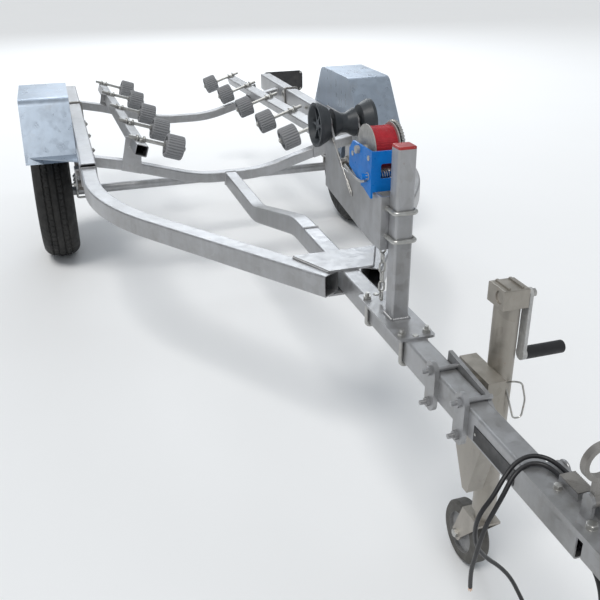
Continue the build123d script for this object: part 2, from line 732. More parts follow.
for side, sign in SIDES:
    # Profiles are drawn in XY with X along the axle and turned about it.
    wheel_frame = Plane(
        origin=(sign * TRACK_HALF, from_axle(0), AXLE_Z),
        x_dir=(sign, 0, 0),
        z_dir=(0, -sign, 0),
    )
    axle_line = Axis((0, from_axle(0), AXLE_Z), (1, 0, 0))

    with BuildPart() as hub:
        with BuildSketch(Plane.YZ.offset(sign * hub_face_x)):
            with Locations((from_axle(0), AXLE_Z)):
                Circle(HUB_FLANGE_R)
        extrude(amount=-sign * HUB_FLANGE_T)
        with BuildSketch(Plane.YZ.offset(sign * hub_inner_x)):
            with Locations((from_axle(0), AXLE_Z)):
                Circle(HUB_R)
        extrude(amount=sign * HUB_LENGTH)
        with BuildSketch(Plane.YZ.offset(sign * hub_face_x)):
            with Locations((from_axle(0), AXLE_Z)):
                Circle(HUB_CAP_R)
        extrude(amount=sign * HUB_CAP_LENGTH)
        with BuildSketch(Plane.YZ.offset(sign * hub_inner_x)):
            with Locations((from_axle(0), AXLE_Z)):
                Circle(STUB_R + RUN_CLEARANCE)
        extrude(amount=sign * (HUB_LENGTH + STUB_NOSE + STUB_END_GAP), mode=Mode.SUBTRACT)
    save(hub.part, f"hub_{side}")

    rim_r = RIM_D / 2
    with BuildPart() as rim:
        with BuildSketch(wheel_frame):
            with BuildLine():
                Polyline(
                    (-RIM_W / 2, rim_r + RIM_LIP),
                    (-RIM_W / 2, rim_r - RIM_WALL),
                    (-RIM_WELL_HALF - RIM_BEAD, rim_r - RIM_WALL),
                    (-RIM_WELL_HALF, rim_r - RIM_WALL - RIM_WELL_DEPTH),
                    (RIM_WELL_HALF, rim_r - RIM_WALL - RIM_WELL_DEPTH),
                    (RIM_WELL_HALF + RIM_BEAD, rim_r - RIM_WALL),
                    (RIM_W / 2, rim_r - RIM_WALL),
                    (RIM_W / 2, rim_r + RIM_LIP),
                    (RIM_W / 2 - RIM_WALL, rim_r + RIM_LIP),
                    (RIM_W / 2 - RIM_WALL, rim_r),
                    (RIM_WELL_HALF + RIM_BEAD - RIM_WALL, rim_r),
                    (RIM_WELL_HALF - RIM_WALL, rim_r - RIM_WELL_DEPTH),
                    (-RIM_WELL_HALF + RIM_WALL, rim_r - RIM_WELL_DEPTH),
                    (-RIM_WELL_HALF - RIM_BEAD + RIM_WALL, rim_r),
                    (-RIM_W / 2 + RIM_WALL, rim_r),
                    (-RIM_W / 2 + RIM_WALL, rim_r + RIM_LIP),
                    close=True,
                )
            make_face()
            with BuildLine():
                Polyline(
                    (RIM_OFFSET, HUB_CAP_R + HUB_CAP_GAP),
                    (RIM_OFFSET, RIM_DISH_R),
                    (RIM_WELL_HALF - RIM_DISC_T, rim_r - RIM_WALL - RIM_WELL_DEPTH),
                    (RIM_WELL_HALF, rim_r - RIM_WALL - RIM_WELL_DEPTH),
                    (RIM_OFFSET + RIM_DISC_T, RIM_DISH_R),
                    (RIM_OFFSET + RIM_DISC_T, HUB_CAP_R + HUB_CAP_GAP),
                    close=True,
                )
            make_face()
        revolve(axis=axle_line)
        with BuildSketch(Plane.YZ.offset(sign * TRACK_HALF)):
            with Locations((from_axle(0), AXLE_Z)):
                with PolarLocations(VENT_PCD / 2, RIM_VENTS):
                    Circle(VENT_D / 2)
        extrude(amount=sign * RIM_W / 2, mode=Mode.SUBTRACT)
    save(rim.part, f"rim_{side}")

    tyre_r = TYRE_D / 2
    bead_half = RIM_W / 2 - RIM_WALL - BEAD_CLEARANCE
    side_bulge_r = (rim_r + tyre_r) / 2
    tyre_side_x = TYRE_W / 2 - TYRE_BULGE
    with BuildPart() as tyre:
        with BuildSketch(wheel_frame):
            with BuildLine():
                Polyline(
                    (-bead_half, rim_r + RIM_LIP + BEAD_CLEARANCE),
                    (-bead_half, rim_r),
                    (bead_half, rim_r),
                    (bead_half, rim_r + RIM_LIP + BEAD_CLEARANCE),
                )
                ThreePointArc(
                    (bead_half, rim_r + RIM_LIP + BEAD_CLEARANCE),
                    (tyre_side_x, side_bulge_r),
                    (TYRE_W / 2 - TYRE_WALL, tyre_r - TYRE_CROWN_R),
                )
                Line(
                    (TYRE_W / 2 - TYRE_WALL, tyre_r - TYRE_CROWN_R),
                    (TYRE_W / 2 - TYRE_WALL - TYRE_SHOULDER_W, tyre_r),
                )
                Line(
                    (TYRE_W / 2 - TYRE_WALL - TYRE_SHOULDER_W, tyre_r),
                    (-TYRE_W / 2 + TYRE_WALL + TYRE_SHOULDER_W, tyre_r),
                )
                Line(
                    (-TYRE_W / 2 + TYRE_WALL + TYRE_SHOULDER_W, tyre_r),
                    (-TYRE_W / 2 + TYRE_WALL, tyre_r - TYRE_CROWN_R),
                )
                ThreePointArc(
                    (-TYRE_W / 2 + TYRE_WALL, tyre_r - TYRE_CROWN_R),
                    (-tyre_side_x, side_bulge_r),
                    (-bead_half, rim_r + RIM_LIP + BEAD_CLEARANCE),
                )
            make_face()
        revolve(axis=axle_line)
    save(tyre.part, f"tyre_{side}")

# ---- Leaf springs ------------------------------------------------------------
spring_seat_z = AXLE_Z + AXLE_D / 2 + SEAT_T
leaf_arc_r = (LEAF_HALF_LENGTHS[0] ** 2 + SPRING_RISE ** 2) / (2 * SPRING_RISE)
pack_top_z = spring_seat_z + LEAF_T * len(LEAF_HALF_LENGTHS)
main_leaf_mid_z = pack_top_z - LEAF_T / 2
arc_centre_z = main_leaf_mid_z + leaf_arc_r
rail_bottom = RAIL_TOP - RAIL_H
clamp_plate_z = pack_top_z + CLAMP_PLATE_L ** 2 / (8 * (leaf_arc_r - LEAF_T)) + BRACKET_GAP


def leaf_end(half_length, radius):
    """(y, z) of the end of a leaf of this half length on an arc of this radius."""
    angle = half_length / radius
    return (radius * sin(angle), arc_centre_z - radius * cos(angle))


def leaf_outline(half_length, radius):
    """Side view of one leaf: two arcs joined by square ends."""
    upper = radius - LEAF_T / 2
    lower = radius + LEAF_T / 2
    upper_y, upper_z = leaf_end(half_length * upper / radius, upper)
    lower_y, lower_z = leaf_end(half_length * lower / radius, lower)
    with BuildSketch() as leaf:
        with BuildLine():
            ThreePointArc(
                (from_axle(-upper_y), upper_z),
                (from_axle(0), arc_centre_z - upper),
                (from_axle(upper_y), upper_z),
            )
            Line((from_axle(upper_y), upper_z), (from_axle(lower_y), lower_z))
            ThreePointArc(
                (from_axle(lower_y), lower_z),
                (from_axle(0), arc_centre_z - lower),
                (from_axle(-lower_y), lower_z),
            )
            Line((from_axle(-lower_y), lower_z), (from_axle(-upper_y), upper_z))
        make_face()
    return leaf.sketch


eye_y, eye_z = leaf_end(LEAF_HALF_LENGTHS[0], leaf_arc_r)
eyes = ((from_axle(-eye_y), eye_z), (from_axle(eye_y), eye_z))
with BuildPart() as leaf_springs:
    for side, sign in SIDES:
        spring_inner = sign * (SPRING_X - SPRING_W / 2)
        for number, half_length in enumerate(LEAF_HALF_LENGTHS):
            with BuildSketch(Plane.YZ.offset(spring_inner)):
                add(leaf_outline(half_length, leaf_arc_r + number * LEAF_T))
            extrude(amount=sign * SPRING_W)
        with BuildSketch(Plane.YZ.offset(spring_inner)):
            with Locations(*eyes):
                Circle(SPRING_EYE_R)
        extrude(amount=sign * SPRING_W)
        with BuildSketch(Plane.YZ.offset(spring_inner)):
            with Locations(*eyes):
                Circle(SPRING_PIN_R + EYE_RUN_GAP)
        extrude(amount=sign * SPRING_W, mode=Mode.SUBTRACT)
save(leaf_springs.part, "leaf_springs")

# ---- Spring hangers, seats and clamp plates ----------------------------------
hanger_half_w = SPRING_W / 2 + EYE_SIDE_GAP + HANGER_T
hanger_low = eye_z - HANGER_DROP
with BuildPart() as spring_mounts:
    for side, sign in SIDES:
        for y, z in eyes:
            with BuildSketch(Plane.XZ.offset(-(y - HANGER_L / 2))):
                with Locations((sign * SPRING_X, (rail_bottom + hanger_low) / 2)):
                    Rectangle(2 * hanger_half_w, rail_bottom - hanger_low)
                with Locations((sign * SPRING_X, (rail_bottom + hanger_low) / 2 - HANGER_T)):
                    Rectangle(
                        2 * (hanger_half_w - HANGER_T), rail_bottom - hanger_low, mode=Mode.SUBTRACT
                    )
            extrude(amount=-HANGER_L)
        with BuildSketch(Plane.YZ.offset(sign * SPRING_X - hanger_half_w)):
            with Locations(*eyes):
                Circle(SPRING_PIN_R)
        extrude(amount=2 * hanger_half_w)
        with BuildSketch(Plane.YZ.offset(sign * SPRING_X - SPRING_W / 2)):
            with Locations((from_axle(0), spring_seat_z - (AXLE_D / 2 + SEAT_T) / 2)):
                Rectangle(CLAMP_PLATE_L, AXLE_D / 2 + SEAT_T)
            with Locations((from_axle(0), AXLE_Z)):
                Circle(AXLE_D / 2, mode=Mode.SUBTRACT)
        extrude(amount=SPRING_W)
        with Locations((sign * SPRING_X, from_axle(0), clamp_plate_z + CLAMP_PLATE_T / 2)):
            Box(CLAMP_PLATE_W, CLAMP_PLATE_L, CLAMP_PLATE_T)
save(spring_mounts.part, "spring_mounts")

# ---- Mudguards ---------------------------------------------------------------
rail_outer_x = RAIL_X + RAIL_W / 2
guard_inner_x = rail_outer_x + GUARD_SEAM
guard_w = GUARD_OUTER_X - guard_inner_x


def guard_side_view(inset, below):
    """The mudguard's side view, its sloped faces and top moved inwards by inset."""
    (front_y, front_z), (crest_y, crest_z), (back_y, back_z), (rear_y, rear_z) = GUARD_SIDE
    front_slope = atan2(crest_z - front_z, crest_y - front_y)
    rear_slope = atan2(back_z - rear_z, rear_y - back_y)
    low_front = front_y + inset / sin(front_slope) - below / tan(front_slope)
    low_rear = rear_y - inset / sin(rear_slope) + below / tan(rear_slope)
    with BuildSketch() as side_view:
        with BuildLine():
            Polyline(
                (from_axle(low_front), front_z - below),
                (from_axle(crest_y + inset * tan(front_slope / 2)), crest_z - inset),
                (from_axle(back_y - inset * tan(rear_slope / 2)), back_z - inset),
                (from_axle(low_rear), rear_z - below),
                close=True,
            )
        make_face()
        fillet(side_view.vertices().sort_by(Axis.Y)[-2:], GUARD_BEND_R - inset)
    return side_view.sketch


gusset_slope = (GUARD_SIDE[1][1] - GUARD_SIDE[0][1]) / (GUARD_SIDE[1][0] - GUARD_SIDE[0][0])
gusset_guard_y = GUARD_SIDE[0][0] + (GUSSET_Z - GUARD_SIDE[0][1]) / gusset_slope
for side, sign in SIDES:
    with BuildPart() as mudguard:
        for start, depth, inset, below in (
            (guard_inner_x, guard_w, 0.0, 0.0),
            (guard_inner_x + GUARD_T, guard_w - 2 * GUARD_T, GUARD_T, GUARD_T),
            (GUARD_OUTER_X - GUARD_T, GUARD_T, GUARD_LIP, GUARD_LIP),
        ):
            with BuildSketch(Plane.YZ.offset(sign * start)):
                add(guard_side_view(inset, below))
            extrude(amount=sign * depth, mode=Mode.SUBTRACT if inset else Mode.ADD)
        with BuildSketch(Plane.XY.offset(GUSSET_Z - GUSSET_T)):
            with BuildLine():
                Polyline(
                    (sign * rail_outer_x, from_axle(gusset_guard_y)),
                    (sign * GUSSET_TIP_X, from_axle(gusset_guard_y)),
                    (sign * rail_outer_x, from_axle(GUSSET_FRONT_Y)),
                    close=True,
                )
            make_face()
        extrude(amount=GUSSET_T)
    save(mudguard.part, f"mudguard_{side}")

# ---- Lamp boards and lamps ---------------------------------------------------
lamp_back_y = from_axle(LAMP_REACH)
board_front_y = lamp_back_y - LAMP_T - LAMP_PLATE_T
with BuildPart() as lamp_boards:
    for side, sign in SIDES:
        with BuildSketch(Plane.XZ.offset(-board_front_y)):
            with Locations((sign * LAMP_PLATE_X, LAMP_PLATE_Z)):
                RectangleRounded(LAMP_PLATE_W, LAMP_PLATE_H, LAMP_CORNER)
        extrude(amount=-LAMP_PLATE_T)
        arm_front_y = from_axle(RAIL_REAR - LAMP_ARM_LAP)
        with Locations(
            (
                sign * (rail_outer_x + LAMP_ARM_T / 2),
                (arm_front_y + board_front_y) / 2,
                LAMP_ARM_Z,
            )
        ):
            Box(LAMP_ARM_T, board_front_y - arm_front_y, LAMP_ARM_H)
save(lamp_boards.part, "lamp_boards")

with BuildPart() as lamps:
    for side, sign in SIDES:
        with BuildSketch(Plane.XZ.offset(-(lamp_back_y - LAMP_T))):
            with Locations((sign * LAMP_PLATE_X, LAMP_PLATE_Z)):
                RectangleRounded(LAMP_W, LAMP_H, LAMP_CORNER / 2)
        extrude(amount=-LAMP_T)
save(lamps.part, "rear_lamps")

# ---- Tie-down rings on the side rails ----------------------------------------
with BuildPart() as tie_rings:
    for side, sign in SIDES:
        ring_x = sign * (rail_inner_x - TIE_WIRE_R)
        with BuildSketch(Plane.XZ.offset(-from_axle(TIE_RING_Y))):
            with Locations((ring_x, TIE_RING_Z + TIE_RING_R)):
                Circle(TIE_WIRE_R)
        revolve(axis=Axis((ring_x, from_axle(TIE_RING_Y), TIE_RING_Z), (1, 0, 0)))
save(tie_rings.part, "tie_rings")

# ---- Winch post --------------------------------------------------------------
base_top = TUBE_TOP + BASE_T
ubolt_leg_x = TUBE_W / 2 + UBOLT_WIRE_R
with BuildPart() as winch_post:
    with BuildSketch(Plane.XY.offset(TUBE_TOP)):
        with Locations((0, from_post((BASE_FRONT_Y + BASE_REAR_Y) / 2))):
            RectangleRounded(2 * BASE_HALF_W, BASE_REAR_Y - BASE_FRONT_Y, BASE_CORNER)
        with Locations(
            *[(sign * ubolt_leg_x, from_post(y)) for y in BASE_UBOLT_Y for side, sign in SIDES]
        ):
            Circle(UBOLT_WIRE_R, mode=Mode.SUBTRACT)
    extrude(amount=BASE_T)
    with BuildSketch(Plane.XY.offset(base_top)):
        with Locations((0, from_post(0))):
            tube_section(POST_W, POST_W, TUBE_WALL, TUBE_CORNER)
    extrude(amount=POST_TOP - base_top)
save(winch_post.part, "winch_post")

with BuildPart() as post_cap:
    with BuildSketch(Plane.XY.offset(POST_TOP)):
        with Locations((0, from_post(0))):
            RectangleRounded(POST_W, POST_W, TUBE_CORNER)
    extrude(amount=POST_CAP_T)
    fillet(post_cap.edges().group_by(Axis.Z)[-1], POST_CAP_T / 2)
save(post_cap.part, "post_cap")

post_front_y = from_post(-POST_W / 2)
post_rear_y = from_post(POST_W / 2)
clamp_leg_x = POST_W / 2 + UBOLT_WIRE_R
with BuildPart() as post_clamps:
    for y in BASE_UBOLT_Y:
        with BuildLine(Plane.XZ.offset(-from_post(y))) as bolt_path:
            FilletPolyline(
                (-ubolt_leg_x, base_top + UBOLT_ABOVE),
                (-ubolt_leg_x, TUBE_TOP - TUBE_H - UBOLT_WIRE_R),
                (ubolt_leg_x, TUBE_TOP - TUBE_H - UBOLT_WIRE_R),
                (ubolt_leg_x, base_top + UBOLT_ABOVE),
                radius=UBOLT_BEND_R,
            )
        with BuildSketch(Plane(bolt_path.line @ 0, x_dir=(1, 0, 0), z_dir=bolt_path.line % 0)):
            Circle(UBOLT_WIRE_R)
        sweep(path=bolt_path.line)
        with BuildSketch(Plane.XY.offset(base_top)):
            with Locations((-ubolt_leg_x, from_post(y)), (ubolt_leg_x, from_post(y))):
                RegularPolygon(2 * UBOLT_WIRE_R, 6)
        extrude(amount=UBOLT_NUT_T)
    for z in POST_CLAMP_Z:
        with BuildLine(Plane.XY.offset(z)) as bolt_path:
            FilletPolyline(
                (-clamp_leg_x, post_rear_y + BRACKET_BACK_T + UBOLT_ABOVE),
                (-clamp_leg_x, post_front_y - UBOLT_WIRE_R),
                (clamp_leg_x, post_front_y - UBOLT_WIRE_R),
                (clamp_leg_x, post_rear_y + BRACKET_BACK_T + UBOLT_ABOVE),
                radius=UBOLT_BEND_R,
            )
        with BuildSketch(Plane(bolt_path.line @ 0, x_dir=(1, 0, 0), z_dir=bolt_path.line % 0)):
            Circle(UBOLT_WIRE_R)
        sweep(path=bolt_path.line)
save(post_clamps.part, "post_clamps")

# ---- Winch bracket: two cheeks from the post back to the bow roller ----------
cheek_outline = (
    (POST_W / 2, BRACKET_HIGH),
    (CHEEK_DIP_FRONT, BRACKET_HIGH),
    (CHEEK_DIP_REAR, BRACKET_HIGH),
    (BOW_ROLLER_Y - CHEEK_END_R, BOW_ROLLER_Z),
    (BOW_ROLLER_Y + CHEEK_END_R, BOW_ROLLER_Z),
    (CHEEK_ELBOW_Y, CHEEK_ELBOW_Z),
    (CHEEK_FOOT_Y, BRACKET_LOW),
    (POST_W / 2, BRACKET_LOW),
)
bracket_back_mid = from_post((POST_W + BRACKET_BACK_T) / 2)
with BuildPart() as winch_bracket:
    for side, sign in SIDES:
        with BuildSketch(Plane.YZ.offset(sign * CHEEK_X)):
            with BuildLine():
                Polyline([(from_post(y), z) for y, z in cheek_outline], close=True)
            make_face()
            with Locations((from_post(BOW_ROLLER_Y), BOW_ROLLER_Z)):
                Circle(CHEEK_END_R)
                Circle(BOW_HUB_R + RUN_CLEARANCE, mode=Mode.SUBTRACT)
        extrude(amount=sign * CHEEK_T)
    with Locations((0, bracket_back_mid, (BRACKET_LOW + BRACKET_HIGH) / 2)):
        Box(2 * (CHEEK_X + CHEEK_T), BRACKET_BACK_T, BRACKET_HIGH - BRACKET_LOW)
        with Locations(
            *[
                (sign * clamp_leg_x, 0, z - (BRACKET_LOW + BRACKET_HIGH) / 2)
                for z in POST_CLAMP_Z
                for side, sign in SIDES
            ]
        ):
            Cylinder(
                UBOLT_WIRE_R,
                2 * BRACKET_BACK_T,
                rotation=(90, 0, 0),
                mode=Mode.SUBTRACT,
            )
    with BuildSketch(Plane.YZ.offset(-CHEEK_X)):
        with Locations((from_post(CHAIN_Y), CHAIN_PIN_Z)):
            Circle(CHAIN_PIN_R)
    extrude(amount=2 * CHEEK_X)
save(winch_bracket.part, "winch_bracket")

# ---- Bow roller: a waisted roller whose hub turns in the cheeks --------------
half_roller = BOW_ROLLER_L / 2
groove_in = CHEEK_X - CHEEK_GROOVE
groove_out = CHEEK_X + CHEEK_T + CHEEK_GROOVE
groove_r = BOW_WAIST_R + (BOW_ROLLER_D / 2 - BOW_WAIST_R) * groove_in / half_roller
outer_r = BOW_WAIST_R + (BOW_ROLLER_D / 2 - BOW_WAIST_R) * groove_out / half_roller
bow_roller_frame = Plane(
    origin=(0, from_post(BOW_ROLLER_Y), BOW_ROLLER_Z), x_dir=(1, 0, 0), z_dir=(0, -1, 0)
)
with BuildPart() as bow_roller:
    with BuildSketch(bow_roller_frame):
        with BuildLine():
            Polyline(
                (-groove_in, BOW_HUB_R),
                (-groove_in, groove_r),
                (-groove_in / 4, BOW_WAIST_R),
                (groove_in / 4, BOW_WAIST_R),
                (groove_in, groove_r),
                (groove_in, BOW_HUB_R),
                (groove_out, BOW_HUB_R),
                (groove_out, outer_r),
                (half_roller - BOW_RIM_W, BOW_ROLLER_D / 2),
                (half_roller, BOW_ROLLER_D / 2),
                (half_roller, BOW_ROLLER_D / 2 - BOW_WALL),
                (groove_out + BOW_WALL, outer_r - BOW_WALL),
                (groove_out + BOW_WALL, BOW_HUB_R),
                (half_roller - BOW_RIM_W, BOW_HUB_R),
                (half_roller - BOW_RIM_W, 0),
                (-half_roller + BOW_RIM_W, 0),
                (-half_roller + BOW_RIM_W, BOW_HUB_R),
                (-groove_out - BOW_WALL, BOW_HUB_R),
                (-groove_out - BOW_WALL, outer_r - BOW_WALL),
                (-half_roller, BOW_ROLLER_D / 2 - BOW_WALL),
                (-half_roller, BOW_ROLLER_D / 2),
                (-half_roller + BOW_RIM_W, BOW_ROLLER_D / 2),
                (-groove_out, outer_r),
                (-groove_out, BOW_HUB_R),
                close=True,
            )
        make_face()
    revolve(axis=Axis((0, from_post(BOW_ROLLER_Y), BOW_ROLLER_Z), (1, 0, 0)))
    spoke_r = BOW_ROLLER_D / 2 - BOW_WALL / 2
    for side, sign in SIDES:
        with BuildSketch(Plane.YZ.offset(sign * groove_out)):
            with Locations((from_post(BOW_ROLLER_Y), BOW_ROLLER_Z)):
                with PolarLocations(0, BOW_SPOKES):
                    with Locations((outer_r / 2, 0)):
                        Rectangle(outer_r - BOW_WALL / 2, BOW_WALL)
        extrude(amount=sign * (half_roller - BOW_RIM_W - groove_out))
save(bow_roller.part, "bow_roller")

# ---- Winch -------------------------------------------------------------------
with BuildPart() as winch_frame:
    for side, sign in SIDES:
        with BuildSketch(Plane.YZ.offset(sign * WINCH_SIDE_X)):
            with BuildLine():
                Polyline(
                    (from_post(WINCH_FRONT_Y), WINCH_LOW_FRONT),
                    (from_post(WINCH_REAR_Y), WINCH_LOW_REAR),
                    (from_post(WINCH_REAR_Y), WINCH_TOP - WINCH_CHAMFER),
                    (from_post(WINCH_REAR_Y - WINCH_CHAMFER), WINCH_TOP),
                    (from_post(WINCH_FRONT_Y), WINCH_TOP),
                    close=True,
                )
            make_face()
            with Locations((from_post(DRUM_Y), DRUM_Z)):
                Circle(DRUM_SHAFT_R + RUN_CLEARANCE, mode=Mode.SUBTRACT)
        extrude(amount=sign * WINCH_T)
    with BuildSketch(Plane.XZ.offset(-from_post(WINCH_FRONT_Y))):
        with Locations((0, (BRACKET_HIGH + WINCH_TOP) / 2)):
            Rectangle(2 * (WINCH_SIDE_X + WINCH_T), WINCH_TOP - BRACKET_HIGH)
            RectangleRounded(WINCH_WINDOW_W, WINCH_WINDOW_H, WINCH_T, mode=Mode.SUBTRACT)
    extrude(amount=-WINCH_T)
    with Locations((0, from_post(WINCH_FRONT_Y + WINCH_BASE_L / 2), BRACKET_HIGH + WINCH_T / 2)):
        Box(2 * (WINCH_SIDE_X + WINCH_T), WINCH_BASE_L, WINCH_T)
    with BuildSketch(Plane.YZ.offset(-(WINCH_SIDE_X + WINCH_T + DRIVE_STUB))):
        with Locations((from_post(DRIVE_Y), DRIVE_Z)):
            Circle(DRIVE_R)
    extrude(amount=2 * (WINCH_SIDE_X + WINCH_T) + DRIVE_STUB)
save(winch_frame.part, "winch_frame")

with BuildPart() as winch_drum:
    for half_length, radius in (
        (WINCH_SIDE_X + WINCH_T + DRUM_STUB, DRUM_SHAFT_R),
        (STRAP_W / 2, STRAP_R),
    ):
        with BuildSketch(Plane.YZ.offset(-half_length)):
            with Locations((from_post(DRUM_Y), DRUM_Z)):
                Circle(radius)
        extrude(amount=2 * half_length)
    for side, sign in SIDES:
        with BuildSketch(Plane.YZ.offset(sign * STRAP_W / 2)):
            with Locations((from_post(DRUM_Y), DRUM_Z)):
                Circle(DRUM_FLANGE_R)
        extrude(amount=sign * DRUM_FLANGE_T)
save(winch_drum.part, "winch_drum")

# ---- Bow chain, hung on the pin between the cheeks ---------------------------
def chain_link(top_z, turned):
    """One oval link hanging from top_z, its flat side turned to X or to Y."""
    end_r = LINK_W / 2 - LINK_WIRE_R
    flat = Plane.YZ if turned else Plane.XZ
    centre = (CHAIN_X, from_post(CHAIN_Y), top_z - LINK_L / 2)
    plane = Plane(centre, x_dir=flat.x_dir, z_dir=flat.z_dir)
    straight = LINK_L / 2 - LINK_WIRE_R - end_r
    with BuildPart() as link:
        with BuildLine(plane) as loop:
            Line((end_r, -straight), (end_r, straight))
            RadiusArc((end_r, straight), (-end_r, straight), -end_r)
            Line((-end_r, straight), (-end_r, -straight))
            RadiusArc((-end_r, -straight), (end_r, -straight), -end_r)
        with BuildSketch(Plane(loop.line @ 0, x_dir=plane.x_dir, z_dir=(0, 0, 1))):
            Circle(LINK_WIRE_R)
        sweep(path=loop.line)
    return link.part


link_pitch = LINK_L - 2 * LINK_WIRE_R - LINK_SLACK
chain_top = CHAIN_PIN_Z + CHAIN_PIN_R + 2 * LINK_WIRE_R + LINK_SLACK
bow_chain = Compound(
    children=[
        chain_link(chain_top - number * link_pitch, number % 2 == 0) for number in range(LINKS)
    ]
)
save(bow_chain, "bow_chain")

# ---- Jack mount on the drawbar -----------------------------------------------
tube_side = TUBE_W / 2
mount_face_x = tube_side + MOUNT_T
bar_rod_low = TUBE_TOP - TUBE_H - ROD_R - ROD_GAP
bar_rod_high = TUBE_TOP + ROD_R + ROD_GAP
with BuildPart() as jack_mount:
    with BuildSketch(Plane.YZ.offset(tube_side)):
        with BuildLine():
            Polyline([(from_jack(y), z) for y, z in MOUNT_OUTLINE], close=True)
        make_face()
    extrude(amount=MOUNT_T)
    with BuildSketch(Plane.YZ.offset(-tube_side)):
        with Locations(*[(from_jack(y), (bar_rod_low + bar_rod_high) / 2) for y in ROD_Y]):
            SlotOverall(bar_rod_high - bar_rod_low + BAR_W, BAR_W, rotation=90)
    extrude(amount=-BAR_T)
    with BuildSketch(Plane.YZ.offset(-(tube_side + ROD_OUT))):
        with Locations(*[(from_jack(y), z) for y in ROD_Y for z in (bar_rod_low, bar_rod_high)]):
            Circle(ROD_R)
    extrude(amount=tube_side + ROD_OUT + mount_face_x)
    with BuildSketch(Plane.YZ.offset(-(tube_side + BAR_T))):
        with Locations(*[(from_jack(y), z) for y in ROD_Y for z in (bar_rod_low, bar_rod_high)]):
            RegularPolygon(2 * ROD_R, 6)
    extrude(amount=-ROD_NUT_T)
    with BuildSketch(Plane.YZ.offset(mount_face_x)):
        with Locations((from_jack(0), JACK_PIVOT_Z)):
            Circle(PIVOT_R)
    extrude(amount=JACK_BOX_X + JACK_BOX_T + PIVOT_SIDE_GAP - mount_face_x)
    with BuildSketch(Plane.YZ.offset(JACK_BOX_X + JACK_BOX_T + PIVOT_SIDE_GAP)):
        with Locations((from_jack(0), JACK_PIVOT_Z)):
            Circle(PIVOT_CAP_R)
    extrude(amount=PIVOT_CAP_T)
save(jack_mount.part, "jack_mount")

# ---- Jack body: outer tube, head and the channel that pivots on the mount ----
jack_at = (JACK_X, from_jack(0))
box_outer_x = JACK_X - JACK_TUBE_R + JACK_BOX_SEAM
with BuildPart() as jack_body:
    with BuildSketch(Plane.YZ.offset(JACK_BOX_X)):
        with BuildLine():
            Polyline([(from_jack(y), z) for y, z in JACK_BOX_OUTLINE], close=True)
        make_face()
    extrude(amount=box_outer_x - JACK_BOX_X)
    with BuildSketch(Plane.YZ.offset(JACK_BOX_X + JACK_BOX_T)) as hollow:
        with BuildLine():
            Polyline([(from_jack(y), z) for y, z in JACK_BOX_OUTLINE], close=True)
        make_face()
        offset(amount=-JACK_BOX_T, kind=Kind.INTERSECTION, mode=Mode.REPLACE)
        with Locations((from_jack(JACK_BOX_REAR_Y), (JACK_BOX_TOP + JACK_BOX_HEEL) / 2)):
            Rectangle(4 * JACK_BOX_T, JACK_BOX_TOP - JACK_BOX_HEEL - 2 * JACK_BOX_T)
    extrude(amount=box_outer_x - JACK_BOX_X - 2 * JACK_BOX_T, mode=Mode.SUBTRACT)
    with BuildSketch(Plane.YZ.offset(JACK_BOX_X - PIVOT_COLLAR_L)):
        with Locations((from_jack(0), JACK_PIVOT_Z)):
            Circle(PIVOT_CAP_R)
    extrude(amount=PIVOT_COLLAR_L)
    with BuildSketch(Plane.YZ.offset(JACK_BOX_X - PIVOT_COLLAR_L)):
        with Locations((from_jack(0), JACK_PIVOT_Z)):
            Circle(PIVOT_R + RUN_CLEARANCE)
    extrude(amount=PIVOT_COLLAR_L + JACK_BOX_T, mode=Mode.SUBTRACT)
    with BuildSketch(Plane.XY.offset(JACK_TUBE_LOW)):
        with Locations(jack_at):
            Circle(JACK_TUBE_R)
    extrude(amount=JACK_HEAD_LOW - JACK_TUBE_LOW)
    with Locations((*jack_at, (JACK_HEAD_LOW + JACK_HEAD_TOP) / 2)):
        Box(JACK_HEAD_W, JACK_HEAD_L, JACK_HEAD_TOP - JACK_HEAD_LOW)
    fillet(jack_body.edges().group_by(Axis.Z)[-1], JACK_HEAD_EDGE)
    with BuildSketch(Plane.XY.offset(JACK_HEAD_TOP - JACK_HEAD_EDGE)):
        with Locations(jack_at):
            with GridLocations(JACK_RIB_PITCH, 0, 2, 1):
                Rectangle(JACK_RIB_W, JACK_HEAD_L - 4 * JACK_HEAD_EDGE)
    extrude(amount=JACK_HEAD_EDGE + JACK_RIB_H)
    with BuildSketch(Plane.XY.offset(JACK_TUBE_LOW)):
        with Locations(jack_at):
            Circle(JACK_LEG_R + RUN_CLEARANCE)
    extrude(amount=JACK_LEG_TOP + JACK_RETRACT + JACK_TOP_ROOM - JACK_TUBE_LOW, mode=Mode.SUBTRACT)
    with BuildSketch(Plane.YZ.offset(JACK_X + JACK_HEAD_W / 2)):
        with Locations((from_jack(CRANK_Y), CRANK_Z)):
            Circle(CRANK_PIN_R + RUN_CLEARANCE)
    extrude(amount=-CRANK_PIN_DEPTH, mode=Mode.SUBTRACT)
    with BuildSketch(Plane.YZ.offset(JACK_X - JACK_HEAD_W / 2)):
        with Locations((from_jack(CRANK_Y), CRANK_Z)):
            Circle(JACK_RECESS_R)
    extrude(amount=JACK_RECESS, mode=Mode.SUBTRACT)
save(jack_body.part, "jack_body")

# ---- Jack leg: slides in the body, the fork swivels on its foot --------------
crown_low = CROWN_TOP - CROWN_T
with BuildPart() as jack_leg:
    for low, high, radius in (
        (CROWN_TOP + PIVOT_SIDE_GAP, JACK_LEG_TOP, JACK_LEG_R),
        (crown_low - SPIGOT_HEAD_T, CROWN_TOP + PIVOT_SIDE_GAP, SPIGOT_R),
        (crown_low - SPIGOT_HEAD_T, crown_low - PIVOT_SIDE_GAP, SPIGOT_HEAD_R),
    ):
        with BuildSketch(Plane.XY.offset(low)):
            with Locations(jack_at):
                Circle(radius)
        extrude(amount=high - low)
save(jack_leg.part, "jack_leg")

